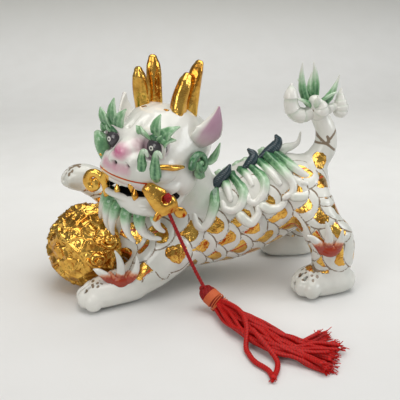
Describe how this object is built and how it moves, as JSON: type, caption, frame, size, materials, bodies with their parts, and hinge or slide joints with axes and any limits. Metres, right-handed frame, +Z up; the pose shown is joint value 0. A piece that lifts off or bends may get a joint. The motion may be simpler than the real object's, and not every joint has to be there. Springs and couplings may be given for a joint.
{
  "type": "foo dog statue",
  "caption": "Glazed porcelain guardian lion-dog in a play bow, one forepaw over a gold brocade ball, with a red tassel on a gold piece held in its mouth.",
  "frame": {"origin": "middle of the base, on the table under the statue", "axes": "+Z up; the creature faces -X and its left side is towards -Y"},
  "size_m": [0.2368, 0.2083, 0.1802],
  "materials": {
    "white_porcelain": "gloss",
    "gold_lustre": "mirror-bright fired gold",
    "green_enamel": "gloss, brushed darker veins",
    "green_to_white_enamel": "gloss, green at the root and white at the tip",
    "dark_enamel": "gloss, hatched",
    "eye_black": "gloss",
    "pink_enamel": "gloss, airbrushed pink",
    "red_thread": "silky thread",
    "orange_thread": "silky thread"
  },
  "bodies": {
    "statue": {"back_spines": "dark_enamel", "beard_curls": "green_to_white_enamel", "brocade_ball": "gold_lustre", "brow_tuft_left": "green_enamel", "brow_tuft_right": "green_enamel", "cheek_tuft_left": "green_enamel", "cheek_tuft_right": "green_enamel", "ear_curl_left": "green_enamel", "ear_curl_right": "green_enamel", "ear_left": "white_porcelain", "ear_right": "white_porcelain", "eye_left": "eye_black", "eye_right": "eye_black", "fore_flame_left": "white_porcelain", "fore_flame_right": "white_porcelain", "foreleg_left": "white_porcelain", "foreleg_right": "white_porcelain", "forepaw_left": "white_porcelain", "forepaw_right": "white_porcelain", "head": "white_porcelain", "hind_flame_left": "white_porcelain", "hind_flame_right": "white_porcelain", "hindleg_left": "white_porcelain", "hindleg_right": "white_porcelain", "hindpaw_left": "white_porcelain", "hindpaw_right": "white_porcelain", "horn_left": "gold_lustre", "horn_right": "gold_lustre", "lower_fangs": "gold_lustre", "lower_jaw": "white_porcelain", "mane_curls_left": "green_to_white_enamel", "mane_curls_right": "green_to_white_enamel", "mane_wisp": "green_to_white_enamel", "mouth_bar": "gold_lustre", "neck": "white_porcelain", "nose": "pink_enamel", "tail": "white_porcelain", "tail_shells": "white_porcelain", "tail_tuft": "green_enamel", "torso": "white_porcelain", "upper_fangs": "gold_lustre", "whisker_left": "gold_lustre", "whisker_right": "gold_lustre"},
    "knot": {"cord_knot": "red_thread"},
    "tassel": {"tassel_cord": "red_thread", "tassel_head": "red_thread", "tassel_band": "orange_thread", "tassel_skirt": "red_thread"}
  },
  "joints": [
    {"name": "tassel_sweep", "type": "hinge", "parent": "statue", "child": "knot", "pos_m": [-0.0273, -0.055, 0.087], "axis": [0, 0, 1], "range_deg": [-30, 5]},
    {"name": "tassel_lift", "type": "hinge", "parent": "knot", "child": "tassel", "pos_m": [-0.0273, -0.055, 0.0796], "axis": [0.361, -0.9326, 0], "range_deg": [0, 30]}
  ]
}
